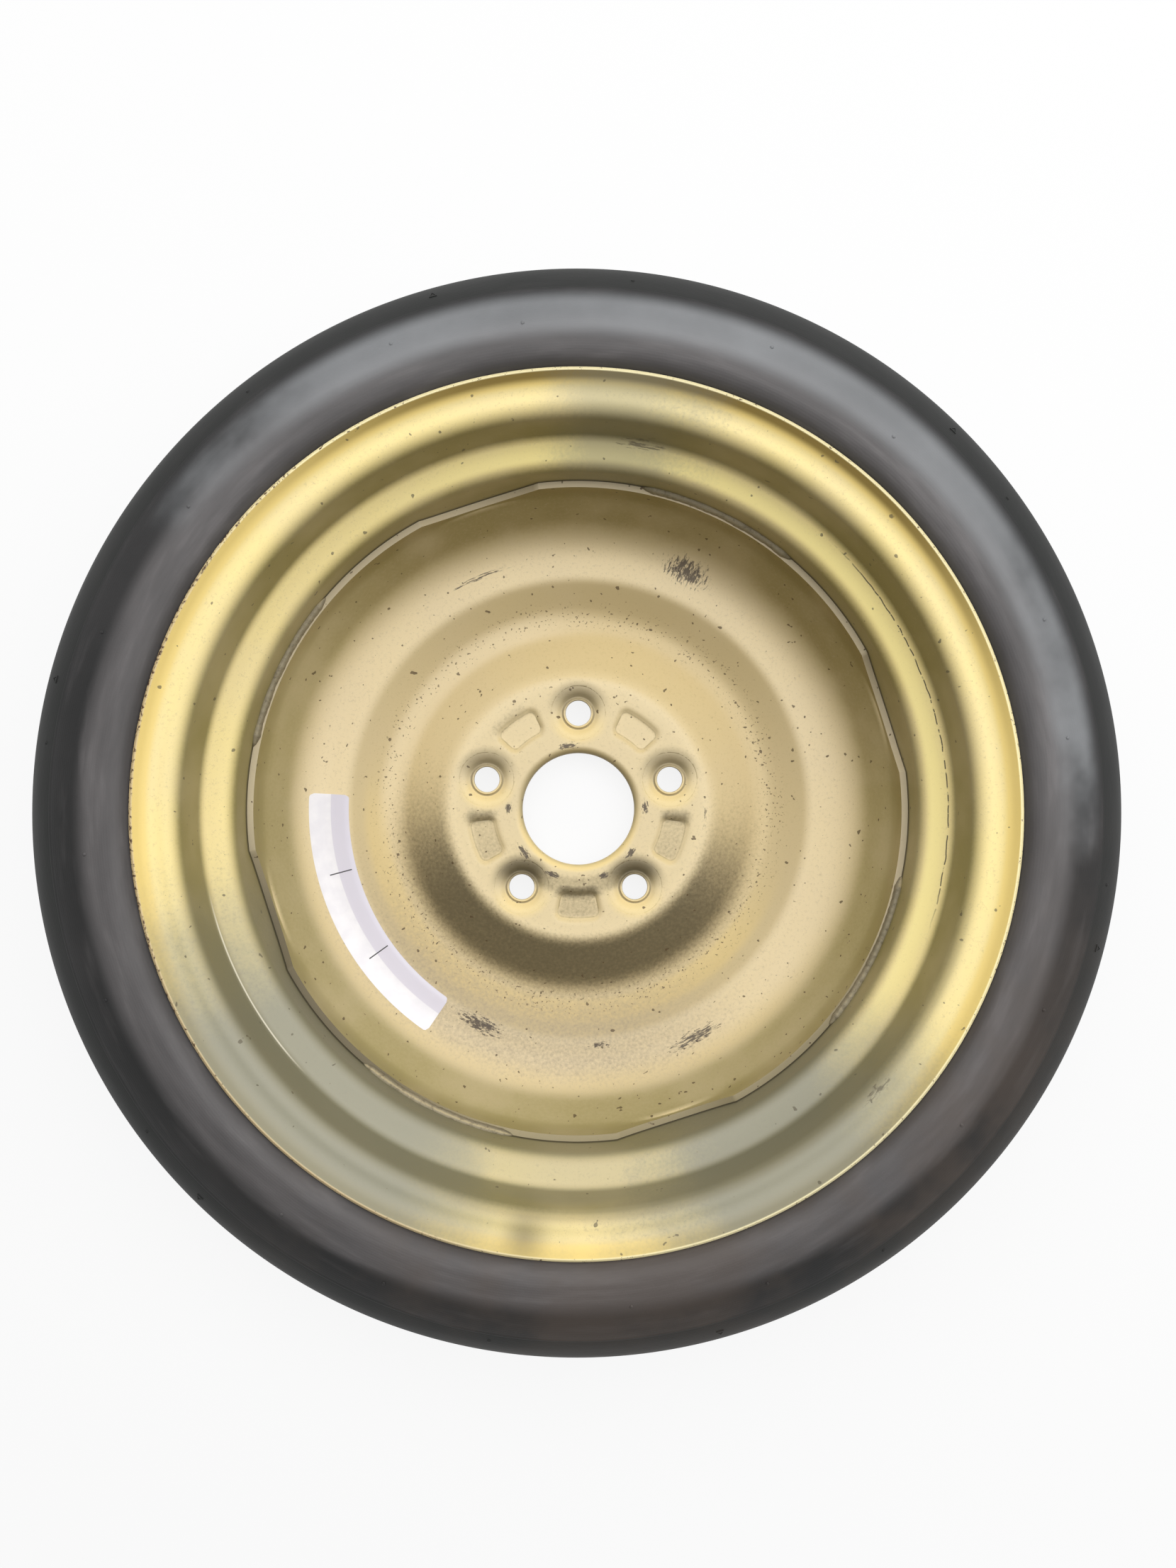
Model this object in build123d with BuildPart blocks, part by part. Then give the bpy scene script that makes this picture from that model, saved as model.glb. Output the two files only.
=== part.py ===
from build123d import *
import os
from math import atan2, cos, degrees, hypot, radians, sin, sqrt, tan

# Space saver spare wheel: a narrow temporary-use tyre on a welded steel wheel.
# It lies on its outboard side. The origin is the wheel's centre, +Z runs along
# the wheel axis towards the inboard (hub) side, and lengths are millimetres.

# Rim, a rolled sheet with a drop-centre well
rim_width = 101.6
rim_sheet = 2.6
bead_seat_radius = 202.8
bead_seat_angle = 5.0
inboard_seat_width = 26.0
outboard_seat_width = 22.3
flange_height = 19.2
lip_reach = 7.4
lip_slope = 50.0
lip_bend = 14.0
heel_bend = 6.0
ledge_bend = 11.0
seat_bend = 5.0
well_bend = 6.0
well_depth = 18.2
well_inboard_edge = 19.5
well_outboard_edge = -14.0

# Disc, a pressed dish that carries the hub pad
wheel_offset = 45.0
disc_sheet = 3.4
disc_fit_gap = 0.1
disc_depth = 45.0
disc_flange_length = 12.0
dish_run = 16.3
shelf_width = 25.2
shelf_drop = 2.0
step_run = 24.0
valley_drop = 15.5
pad_radius = 77.0
flange_foot_bend = 20.0
shelf_bend = 26.0
step_bend = 12.0
valley_bend = 20.0
pad_bend = 15.0

# Centre bore, flanged towards the outboard side
bore_radius = 33.55
bore_lead_bend = 4.5
bore_collar_depth = 10.0

# Stud holes, each in a coined dimple with a 60 degree nut seat outboard
stud_count = 5
stud_pcd = 114.3
stud_first_angle = 18.0
stud_hole_radius = 7.5
dimple_mouth_radius = 13.5
dimple_floor_radius = 9.3
dimple_depth = 2.6
dimple_wall_spread = 1.6
stud_collar_wall = 1.35
stud_collar_height = 1.2
nut_seat_angle = 60.0
nut_seat_depth = 3.0

# Kidney recesses pressed between the stud holes
recess_inner_radius = 50.0
recess_outer_radius = 65.5
recess_arc = 24.4
recess_corner = 3.0
recess_depth = 2.0
recess_wall_spread = 1.6
recess_draft = 30.0

# Scallops in the disc's flange and the welds between them
scallop_count = 4
scallop_first_angle = 17.8
scallop_radius = 60.0
scallop_depth = 11.0
weld_first_angle = 64.2
weld_arc = 29.0
weld_leg = 4.2
weld_bulge = 0.7
weld_gap = 0.05
weld_inset = 0.5

# Sticker on the disc's shelf
sticker_width = 22.6
sticker_margin = 2.9
sticker_first_angle = 176.5
sticker_arc = 59.2
sticker_corner = 2.5
sticker_thickness = 0.25
sticker_glue = 0.05

# Tyre, moulded in one piece and open towards the rim
tyre_radius = 286.8
tread_crown_bend = 200.0
tread_flat_half_width = 20.0
tread_thickness = 12.0
section_half_width = 64.3
widest_rise = 10.0
sidewall_thickness = 8.3
bead_gap = 0.3
bead_toe_z = 30.0
bead_lip_overrun = 0.6
carcass_crown_bend = 90.0
carcass_crown_arc = 20.0
carcass_widest_rise = 8.0
carcass_foot_rise = 6.0
carcass_foot_inset = 8.2
groove_offset = 16.0
groove_width = 6.0
groove_depth = 5.0

# Snap-in valve through the rim's outboard slope
valve_angle = 287.8
valve_hole_radius = 5.65
valve_fit_gap = 0.05
valve_ridge_gap = 0.15
valve_base_radius = 8.3
valve_base_tip_radius = 6.4
valve_base_length = 6.4
valve_base_taper = 3.6
valve_ridge_radius = 7.4
valve_neck_radius = 6.2
valve_neck_height = 4.0
valve_top_radius = 4.9
valve_top_height = 15.0

# Brass stem moulded into the valve's rubber
stem_radius = 3.0
stem_thread_radius = 3.85
stem_thread_length = 9.0
stem_chamfer = 0.5
stem_air_radius = 1.6
core_chamber_radius = 2.65
core_chamber_depth = 10.5
core_seat_length = 1.5

# Valve core inside the stem
core_gap = 0.1
core_barrel_radius = 1.5
core_barrel_bore = 0.95
core_barrel_length = 8.0
core_barrel_lip_bore = 0.62
core_barrel_lip = 0.8
core_barrel_sink = 2.5
core_gasket_height = 2.4
core_plug_length = 5.0
core_plug_bore = 1.0
core_plug_bar_width = 2.2
core_plug_bar_height = 2.6
core_pin_radius = 0.5
core_pin_sink = 1.0
core_cup_radius = 1.4
core_cup_height = 1.4
core_collar_radius = 0.85
core_collar_height = 0.45
core_spring_length = 5.4
core_spring_radius = 0.72
core_spring_wire = 0.12
core_spring_turns = 4

# Cap screwed on the stem
cap_radius = 4.7
cap_wall_gap = 0.1
cap_rubber_gap = 0.4
cap_tip_gap = 0.3
cap_roof = 1.8
cap_edge = 0.6
cap_flute_count = 12
cap_flute_radius = 0.55

os.makedirs("parts", exist_ok=True)


def save(piece, name):
    """Label a finished piece and write its STEP file."""
    piece.label = name
    export_step(piece, f"parts/{name}.step")


# Rim section: the tyre-side surface from the inboard lip to the outboard lip
half_rim = rim_width / 2
lip_z = half_rim + lip_reach
flange_radius = bead_seat_radius + flange_height
well_radius = bead_seat_radius - well_depth
lip_foot_radius = flange_radius - lip_reach / tan(radians(lip_slope))
lip_half_turn = tan(radians(lip_slope / 2))
heel_run = heel_bend * tan(radians((90 - bead_seat_angle) / 2))
lip_bend_room = (lip_foot_radius - bead_seat_radius - heel_run) / lip_half_turn
lip_curl = min(lip_bend, lip_bend_room - bead_gap)
seat_fall = tan(radians(bead_seat_angle))
inboard_seat_end = (bead_seat_radius - inboard_seat_width * seat_fall, half_rim - inboard_seat_width)
outboard_seat_end = (bead_seat_radius - outboard_seat_width * seat_fall, outboard_seat_width - half_rim)
rim_points = [
    (flange_radius, lip_z),
    (lip_foot_radius, half_rim),
    (bead_seat_radius, half_rim),
    inboard_seat_end,
    (well_radius, well_inboard_edge),
    (well_radius, well_outboard_edge),
    outboard_seat_end,
    (bead_seat_radius, -half_rim),
    (lip_foot_radius, -half_rim),
    (flange_radius, -lip_z),
]
rim_bends = [lip_curl, heel_bend, ledge_bend, well_bend, well_bend, seat_bend, heel_bend, lip_curl]

# Valve axis: square to the middle of the slope between the well and the outboard seat
slope_r = outboard_seat_end[0] - well_radius
slope_z = outboard_seat_end[1] - well_outboard_edge
slope_length = hypot(slope_r, slope_z)
valve_out_r = slope_z / slope_length
valve_out_z = -slope_r / slope_length
valve_seat_r = (well_radius + outboard_seat_end[0]) / 2 + rim_sheet * valve_out_r
valve_seat_z = (well_outboard_edge + outboard_seat_end[1]) / 2 + rim_sheet * valve_out_z
valve_cos = cos(radians(valve_angle))
valve_sin = sin(radians(valve_angle))
valve_plane = Plane(
    origin=(valve_seat_r * valve_cos, valve_seat_r * valve_sin, valve_seat_z),
    x_dir=(-valve_sin, valve_cos, 0),
    z_dir=(valve_out_r * valve_cos, valve_out_r * valve_sin, valve_out_z),
)
valve_section = Plane(origin=valve_plane.origin, x_dir=valve_plane.x_dir, z_dir=-valve_plane.y_dir)
valve_axis = Axis(valve_plane.origin, valve_plane.z_dir)

with BuildPart() as rim:
    with BuildSketch(Plane.XZ):
        with BuildLine():
            tyre_side = FilletPolyline(*rim_points, radius=rim_bends)
            offset(tyre_side, amount=rim_sheet, side=Side.RIGHT)
        make_face()
    revolve(axis=Axis.Z)
    with Locations(valve_plane.offset(rim_sheet)):
        Hole(valve_hole_radius, depth=3 * rim_sheet)
save(rim.part, "rim")

# Disc section: the inboard surface from the bore's collar out to the flange's edge
mount_z = -wheel_offset
shelf_z = mount_z - shelf_drop
disc_edge_z = mount_z + disc_depth
disc_foot_z = disc_edge_z - disc_flange_length
disc_flange_radius = well_radius - rim_sheet - disc_fit_gap
disc_inner_radius = disc_flange_radius - disc_sheet
shelf_corner_radius = disc_inner_radius - dish_run
step_radius = shelf_corner_radius - shelf_width
valley_radius = step_radius - step_run
disc_points = [
    (bore_radius, mount_z - bore_collar_depth),
    (bore_radius, mount_z),
    (pad_radius, mount_z),
    (valley_radius, mount_z - valley_drop),
    (step_radius, shelf_z),
    (shelf_corner_radius, shelf_z),
    (disc_inner_radius, disc_foot_z),
    (disc_inner_radius, disc_edge_z),
]
# The pad stays flat out to the stud dimples' edges, which limits the bend round it
pad_flat_radius = stud_pcd / 2 + dimple_mouth_radius + dimple_wall_spread
pad_slope = atan2(valley_drop, valley_radius - pad_radius)
pad_bend_room = (pad_radius - pad_flat_radius) / tan(pad_slope / 2)
disc_bends = [
    bore_lead_bend,
    min(pad_bend, pad_bend_room),
    valley_bend,
    step_bend,
    shelf_bend,
    flange_foot_bend,
]

# Stud seats: heights of the coined dimple, its collar and the outboard nut seat
outboard_pad_z = mount_z - disc_sheet
dimple_floor_z = mount_z - dimple_depth
seat_end_z = outboard_pad_z - dimple_depth
nut_seat_radius = stud_hole_radius + nut_seat_depth * tan(radians(nut_seat_angle / 2))
upward = (Align.CENTER, Align.CENTER, Align.MIN)


def recess_outline(spread):
    """Kidney outline about the X axis, grown on every side by spread."""
    with BuildSketch(mode=Mode.PRIVATE) as outline:
        with BuildLine():
            outer = CenterArc((0, 0), recess_outer_radius, -recess_arc / 2, recess_arc)
            inner = CenterArc((0, 0), recess_inner_radius, -recess_arc / 2, recess_arc)
            Line(inner @ 0, outer @ 0)
            Line(inner @ 1, outer @ 1)
        make_face()
        fillet(outline.vertices(), recess_corner)
        if spread:
            offset(amount=spread)
    return outline.sketch


recess_first_angle = stud_first_angle + 180 / stud_count
recess_slope = recess_depth * tan(radians(recess_draft))

with BuildPart() as wheel_disc:
    with BuildSketch(Plane.XZ):
        with BuildLine():
            inboard_side = FilletPolyline(*disc_points, radius=disc_bends)
            offset(inboard_side, amount=disc_sheet, side=Side.RIGHT)
        make_face()
    revolve(axis=Axis.Z)
    # Each recess is pressed through: raised outboard, sunk inboard
    with BuildSketch(Plane.XY.offset(outboard_pad_z)):
        with PolarLocations(0, stud_count, start_angle=recess_first_angle):
            add(recess_outline(recess_wall_spread))
    extrude(amount=-recess_depth, taper=recess_draft)
    with BuildSketch(Plane.XY.offset(mount_z)):
        with PolarLocations(0, stud_count, start_angle=recess_first_angle):
            add(recess_outline(recess_slope))
    extrude(amount=-recess_depth, taper=recess_draft, mode=Mode.SUBTRACT)
    with Locations((0, 0, seat_end_z)):
        with PolarLocations(stud_pcd / 2, stud_count, start_angle=stud_first_angle):
            Cone(
                dimple_floor_radius + dimple_wall_spread,
                dimple_mouth_radius + dimple_wall_spread,
                dimple_depth,
                align=upward,
            )
    with Locations((0, 0, dimple_floor_z)):
        with PolarLocations(stud_pcd / 2, stud_count, start_angle=stud_first_angle):
            Cone(dimple_floor_radius, dimple_mouth_radius, dimple_depth, align=upward, mode=Mode.SUBTRACT)
            Cylinder(stud_hole_radius + stud_collar_wall, stud_collar_height, align=upward)
    with Locations((0, 0, seat_end_z)):
        with PolarLocations(stud_pcd / 2, stud_count, start_angle=stud_first_angle):
            Cylinder(stud_hole_radius, 2 * dimple_depth + disc_sheet, align=upward, mode=Mode.SUBTRACT)
            Cone(nut_seat_radius, stud_hole_radius, nut_seat_depth, align=upward, mode=Mode.SUBTRACT)
    # Scallops: round bites out of the flange's free edge
    with Locations((0, 0, disc_edge_z - scallop_depth + scallop_radius)):
        with PolarLocations(disc_inner_radius - disc_sheet, scallop_count, start_angle=scallop_first_angle):
            Cylinder(
                scallop_radius,
                3 * disc_sheet,
                rotation=(0, 90, 0),
                align=upward,
                mode=Mode.SUBTRACT,
            )
save(wheel_disc.part, "wheel_disc")

# Weld beads: a bulged fillet between the flange's free edge and the well's wall
weld_wall_radius = well_radius - rim_sheet - weld_gap
weld_foot_z = disc_edge_z + weld_gap
weld_toe = (disc_inner_radius + weld_inset, weld_foot_z)
weld_root = (weld_wall_radius, weld_foot_z)
weld_top = (weld_wall_radius, weld_foot_z + weld_leg)
weld_face_length = hypot(weld_root[0] - weld_toe[0], weld_leg)
weld_middle = (
    (weld_toe[0] + weld_top[0]) / 2 - weld_bulge * weld_leg / weld_face_length,
    (weld_toe[1] + weld_top[1]) / 2 + weld_bulge * (weld_root[0] - weld_toe[0]) / weld_face_length,
)

with BuildPart() as weld_beads:
    for number in range(scallop_count):
        weld_start = weld_first_angle - weld_arc / 2 + number * 360 / scallop_count
        with BuildSketch(Plane.XZ.rotated((0, 0, weld_start))):
            with BuildLine():
                Polyline(weld_toe, weld_root, weld_top)
                ThreePointArc(weld_top, weld_middle, weld_toe)
            make_face()
        revolve(axis=Axis.Z, revolution_arc=weld_arc)
save(weld_beads.part, "disc_weld_beads")

# Sticker: a strip of the disc's inboard surface, cut to a rounded sector
sticker_outer_radius = shelf_corner_radius - sticker_margin
sticker_inner_radius = sticker_outer_radius - sticker_width
sticker_plane = Plane(origin=(0, 0, sticker_glue), x_dir=(1, 0, 0), z_dir=(0, -1, 0))

with BuildPart() as sticker:
    with BuildSketch(sticker_plane):
        with BuildLine():
            disc_face = FilletPolyline(*disc_points, radius=disc_bends)
            offset(disc_face, amount=sticker_thickness, side=Side.LEFT)
        make_face()
    revolve(axis=Axis.Z)
    with BuildSketch(Plane.XY.offset(mount_z - valley_drop)) as sector:
        with BuildLine():
            far = CenterArc((0, 0), sticker_outer_radius, sticker_first_angle, sticker_arc)
            near = CenterArc((0, 0), sticker_inner_radius, sticker_first_angle, sticker_arc)
            Line(near @ 0, far @ 0)
            Line(near @ 1, far @ 1)
        make_face()
        fillet(sector.vertices(), sticker_corner)
    extrude(amount=disc_depth, mode=Mode.INTERSECT)
save(sticker.part, "blank_sticker")

# Tyre section, drawn for the inboard half: tread, shoulder, sidewall, bead, carcass
crown_arc = degrees(atan2(tread_flat_half_width, tread_crown_bend))
widest_radius = flange_radius + widest_rise
carcass_radius = tyre_radius - tread_thickness
widest_point = Vector(widest_radius, section_half_width)
inner_widest_radius = widest_radius + carcass_widest_rise
inner_widest_point = Vector(inner_widest_radius, section_half_width - sidewall_thickness)
carcass_foot = (flange_radius + carcass_foot_rise, lip_z - carcass_foot_inset)
inward = Vector(-1, 0)


def arcs_meet(start, start_way, end, end_way):
    """Point where two arcs meet that lead smoothly from one place and way to another."""
    span = end - start
    both = start_way + end_way
    spread = 2 * (1 - start_way.dot(end_way))
    reach = (sqrt(span.dot(both) ** 2 + spread * span.dot(span)) - span.dot(both)) / spread
    return start + (span + (start_way - end_way) * reach) / 2


bead_face_z = half_rim - bead_gap
bead_sole_radius = bead_seat_radius + bead_gap
bead_foot_radius = lip_foot_radius + bead_gap * lip_half_turn
bead_top_z = lip_z + bead_lip_overrun
bead_top_radius = bead_foot_radius + (bead_top_z - bead_face_z) / tan(radians(lip_slope))
bead_toe = (bead_sole_radius - (bead_face_z - bead_toe_z) * seat_fall, bead_toe_z)
bead_points = [
    (bead_top_radius, bead_top_z),
    (bead_foot_radius, bead_face_z),
    (bead_sole_radius, bead_face_z),
    bead_toe,
]

with BuildPart() as tyre:
    with BuildSketch(Plane.XZ):
        with BuildLine():
            crown = JernArc((tyre_radius, 0), (0, 1), tread_crown_bend, crown_arc)
            shoulder_end = arcs_meet(crown @ 1, crown % 1, widest_point, inward)
            shoulder = TangentArc(crown @ 1, shoulder_end, tangent=crown % 1)
            TangentArc(shoulder_end, widest_point, tangent=shoulder % 1)
            TangentArc(widest_point, bead_points[0], tangent=inward)
            FilletPolyline(*bead_points, radius=[lip_curl + bead_gap, heel_bend])
            inner_crown = JernArc((carcass_radius, 0), (0, 1), carcass_crown_bend, carcass_crown_arc)
            inner_shoulder_end = arcs_meet(inner_crown @ 1, inner_crown % 1, inner_widest_point, inward)
            inner_shoulder = TangentArc(inner_crown @ 1, inner_shoulder_end, tangent=inner_crown % 1)
            TangentArc(inner_shoulder_end, inner_widest_point, tangent=inner_shoulder % 1)
            TangentArc(inner_widest_point, carcass_foot, tangent=inward)
            Line(carcass_foot, bead_toe)
            Line((carcass_radius, 0), (tyre_radius, 0))
        make_face()
        mirror(about=Plane.XZ)
    revolve(axis=Axis.Z)
    with BuildSketch(Plane.XZ):
        with Locations((tyre_radius, -groove_offset), (tyre_radius, 0), (tyre_radius, groove_offset)):
            Rectangle(2 * groove_depth, groove_width)
    revolve(axis=Axis.Z, mode=Mode.SUBTRACT)
save(tyre.part, "tyre")

# Valve body: rubber, with its base inside the rim, a groove for the sheet and a tapered neck.
# Along the valve's axis 0 is the rim's air side and heights grow outwards.
sheet_inside = -rim_sheet - valve_fit_gap
base_end = sheet_inside - valve_base_length
groove_radius = valve_hole_radius - valve_fit_gap
stem_sleeve = stem_radius + valve_fit_gap
valve_outline = [
    (stem_sleeve, base_end),
    (valve_base_tip_radius, base_end),
    (valve_base_radius, base_end + valve_base_taper),
    (valve_base_radius, sheet_inside),
    (groove_radius, sheet_inside),
    (groove_radius, valve_ridge_gap),
    (valve_ridge_radius, valve_ridge_gap),
    (valve_neck_radius, valve_neck_height),
    (valve_top_radius, valve_top_height),
    (stem_sleeve, valve_top_height),
]

with BuildPart() as valve_body:
    with BuildSketch(valve_section):
        with BuildLine():
            Polyline(*valve_outline, close=True)
        make_face()
    revolve(axis=valve_axis)
save(valve_body.part, "valve_body")

# Stem: a brass tube with a wider threaded end and a chamber for the core
thread_foot = valve_top_height + valve_fit_gap
stem_tip = thread_foot + stem_thread_length
chamber_floor = stem_tip - core_chamber_depth
stem_outline = [
    (stem_air_radius, base_end),
    (stem_radius, base_end),
    (stem_radius, thread_foot),
    (stem_thread_radius, thread_foot),
    (stem_thread_radius, stem_tip - stem_chamfer),
    (stem_thread_radius - stem_chamfer, stem_tip),
    (core_chamber_radius, stem_tip),
    (core_chamber_radius, chamber_floor),
    (stem_air_radius, chamber_floor - core_seat_length),
]

with BuildPart() as valve_stem:
    with BuildSketch(valve_section):
        with BuildLine():
            Polyline(*stem_outline, close=True)
        make_face()
    revolve(axis=valve_axis)
save(valve_stem.part, "valve_stem")

# Core barrel, with an inner lip that carries the spring
barrel_foot = chamber_floor - core_seat_length - core_barrel_sink
barrel_top = barrel_foot + core_barrel_length
spring_foot = barrel_foot + core_barrel_lip
barrel_outline = [
    (core_barrel_lip_bore, barrel_foot),
    (core_barrel_radius, barrel_foot),
    (core_barrel_radius, barrel_top),
    (core_barrel_bore, barrel_top),
    (core_barrel_bore, spring_foot),
    (core_barrel_lip_bore, spring_foot),
]

with BuildPart() as core_barrel:
    with BuildSketch(valve_section):
        with BuildLine():
            Polyline(*barrel_outline, close=True)
        make_face()
    revolve(axis=valve_axis)
save(core_barrel.part, "valve_core_barrel")

# Gasket: a tapered ring that seals the barrel in the stem's conical seat
gasket_bore = core_barrel_radius + valve_fit_gap
gasket_radius = core_chamber_radius - core_gap
gasket_tip_radius = (stem_air_radius + core_chamber_radius) / 2 - core_gap
gasket_foot = chamber_floor - core_seat_length / 2
gasket_outline = [
    (gasket_bore, gasket_foot),
    (gasket_tip_radius, gasket_foot),
    (gasket_radius, chamber_floor),
    (gasket_radius, gasket_foot + core_gasket_height),
    (gasket_bore, gasket_foot + core_gasket_height),
]

with BuildPart() as core_gasket:
    with BuildSketch(valve_section):
        with BuildLine():
            Polyline(*gasket_outline, close=True)
        make_face()
    revolve(axis=valve_axis)
save(core_gasket.part, "valve_core_gasket")

# Plug: threaded round body whose upper end is a bar for the core key
plug_radius = core_chamber_radius - core_gap
plug_foot = barrel_top + valve_fit_gap
plug_body_height = core_plug_length - core_plug_bar_height

with BuildPart() as core_plug:
    with BuildSketch(valve_plane.offset(plug_foot)):
        Circle(plug_radius)
    extrude(amount=plug_body_height)
    with BuildSketch(valve_plane.offset(plug_foot + plug_body_height)) as key_bar:
        Circle(plug_radius)
        Rectangle(2 * plug_radius, core_plug_bar_width, mode=Mode.INTERSECT)
    extrude(amount=core_plug_bar_height)
    with Locations(valve_plane.offset(plug_foot + core_plug_length)):
        Hole(core_plug_bore, depth=core_plug_length)
save(core_plug.part, "valve_core_plug")

# Pin: its cup shuts the barrel's foot and its collar sits on the spring
spring_top = spring_foot + core_spring_length
cup_top = barrel_foot - valve_fit_gap
cup_foot = cup_top - core_cup_height
collar_foot = spring_top + valve_fit_gap
collar_top = collar_foot + core_collar_height
pin_outline = [
    (0, cup_foot),
    (core_cup_radius, cup_foot),
    (core_cup_radius, cup_top),
    (core_pin_radius, cup_top),
    (core_pin_radius, collar_foot),
    (core_collar_radius, collar_foot),
    (core_collar_radius, collar_top),
    (core_pin_radius, collar_top),
    (core_pin_radius, stem_tip - core_pin_sink),
    (0, stem_tip - core_pin_sink),
]

with BuildPart() as core_pin:
    with BuildSketch(valve_section):
        with BuildLine():
            Polyline(*pin_outline, close=True)
        make_face()
    revolve(axis=valve_axis)
save(core_pin.part, "valve_core_pin")

# Spring: a wire coil between the barrel's lip and the pin's collar
coil_foot = valve_plane.offset(spring_foot + core_spring_wire + valve_fit_gap)
coil_height = core_spring_length - 2 * (core_spring_wire + valve_fit_gap)

with BuildPart() as core_spring:
    with BuildLine():
        coil = Helix(
            coil_height / core_spring_turns,
            coil_height,
            core_spring_radius,
            center=coil_foot.origin,
            direction=coil_foot.z_dir,
        )
    with BuildSketch(Plane(coil @ 0, z_dir=coil % 0)):
        RegularPolygon(core_spring_wire, side_count=6)
    sweep(path=coil, is_frenet=True)
save(core_spring.part, "valve_core_spring")

# Cap: a fluted plastic thimble over the stem's threaded end
cap_foot = valve_top_height + cap_rubber_gap
cap_ceiling = stem_tip + cap_tip_gap
cap_top = cap_ceiling + cap_roof
cap_bore = stem_thread_radius + cap_wall_gap
cap_outline = [
    (cap_bore, cap_foot),
    (cap_radius, cap_foot),
    (cap_radius, cap_top - cap_edge),
    (cap_radius - cap_edge, cap_top),
    (0, cap_top),
    (0, cap_ceiling),
    (cap_bore, cap_ceiling),
]

with BuildPart() as valve_cap:
    with BuildSketch(valve_section):
        with BuildLine():
            Polyline(*cap_outline, close=True)
        make_face()
    revolve(axis=valve_axis)
    with BuildSketch(valve_plane.offset(cap_foot)):
        with PolarLocations(cap_radius, cap_flute_count):
            Circle(cap_flute_radius)
    extrude(amount=cap_top - cap_foot, mode=Mode.SUBTRACT)
save(valve_cap.part, "valve_cap")
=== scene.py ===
from functools import reduce
from math import atan2, ceil, cos, degrees, hypot, pi, radians, sin, sqrt, tan

import bmesh
import bpy
from mathutils import Matrix, Vector, noise


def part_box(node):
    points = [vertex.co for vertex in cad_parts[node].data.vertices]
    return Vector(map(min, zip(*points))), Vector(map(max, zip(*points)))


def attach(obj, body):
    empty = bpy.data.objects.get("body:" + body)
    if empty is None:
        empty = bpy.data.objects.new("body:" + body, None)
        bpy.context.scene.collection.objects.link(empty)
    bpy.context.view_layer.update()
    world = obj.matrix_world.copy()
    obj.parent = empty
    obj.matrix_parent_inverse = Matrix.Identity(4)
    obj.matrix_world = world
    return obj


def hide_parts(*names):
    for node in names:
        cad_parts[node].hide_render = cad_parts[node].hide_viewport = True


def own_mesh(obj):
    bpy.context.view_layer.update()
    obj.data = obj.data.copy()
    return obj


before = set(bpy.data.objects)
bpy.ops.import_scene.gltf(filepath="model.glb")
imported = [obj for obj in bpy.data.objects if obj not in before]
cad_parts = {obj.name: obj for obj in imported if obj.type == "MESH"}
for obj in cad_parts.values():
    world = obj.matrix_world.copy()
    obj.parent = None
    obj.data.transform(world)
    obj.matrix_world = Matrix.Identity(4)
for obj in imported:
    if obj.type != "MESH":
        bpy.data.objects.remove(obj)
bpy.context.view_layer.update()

# Lengths are millimetres in the frame of the model, and MM turns them into metres.
# Angles are degrees from +X, unless radians() is written.
MM = 0.001
ring_steps = 400
tyre_low, tyre_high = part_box("tyre")
_, rim_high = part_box("rim")
_, disc_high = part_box("wheel_disc")

# Rim: tyre-side corners from the inboard lip to the outboard lip
rim_sheet = 2.6
rim_edge = 0.7
half_rim = 50.8
lip_radius = rim_high.x / MM
lip_z = half_rim + 7.4
lip_slope = radians(50)
lip_foot = lip_radius - (lip_z - half_rim) / tan(lip_slope)
seat_radius = 202.8
seat_fall = tan(radians(5))
inboard_seat, outboard_seat = 26.0, 22.3
well_radius = 184.6
well_top, well_bottom = 19.5, -14.0
rim_corners = [
    (lip_radius, lip_z),
    (lip_foot, half_rim),
    (seat_radius, half_rim),
    (seat_radius - inboard_seat * seat_fall, half_rim - inboard_seat),
    (well_radius, well_top),
    (well_radius, well_bottom),
    (seat_radius - outboard_seat * seat_fall, outboard_seat - half_rim),
    (seat_radius, -half_rim),
    (lip_foot, -half_rim),
    (lip_radius, -lip_z),
]
rim_bends = [14.0, 6.0, 8.0, 6.0, 6.0, 5.0, 6.0, 14.0]

# Valve: its hole in the rim's outboard slope, and the core's spring
valve_angle = 287.8
valve_hole = 5.65
valve_drill = 14.0
spring_radius = 0.72
spring_wire = 0.12
spring_turns = 4

# Disc: inboard corners from the bore's collar to the flange's free edge
disc_sheet = 3.4
disc_edge_z = disc_high.z / MM
disc_inner_radius = disc_high.x / MM - disc_sheet
disc_foot_z = disc_edge_z - 12.0
mount_z = disc_edge_z - 45.0
shelf_z = mount_z - 2.0
valley_z = mount_z - 15.5
bore_radius = 33.55
bore_collar = 10.0
pad_radius, valley_radius = 77.0, 113.0
shelf_inner, shelf_outer = 137.0, 162.2
disc_corners = [
    (bore_radius, mount_z - bore_collar),
    (bore_radius, mount_z),
    (pad_radius, mount_z),
    (valley_radius, valley_z),
    (shelf_inner, shelf_z),
    (shelf_outer, shelf_z),
    (disc_inner_radius, disc_foot_z),
    (disc_inner_radius, disc_edge_z),
]
disc_bends = [4.5, 15.0, 20.0, 12.0, 26.0, 20.0]
pressed_radius = 75.0
pressed_step, plain_step = 1.3, 4.0

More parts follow.
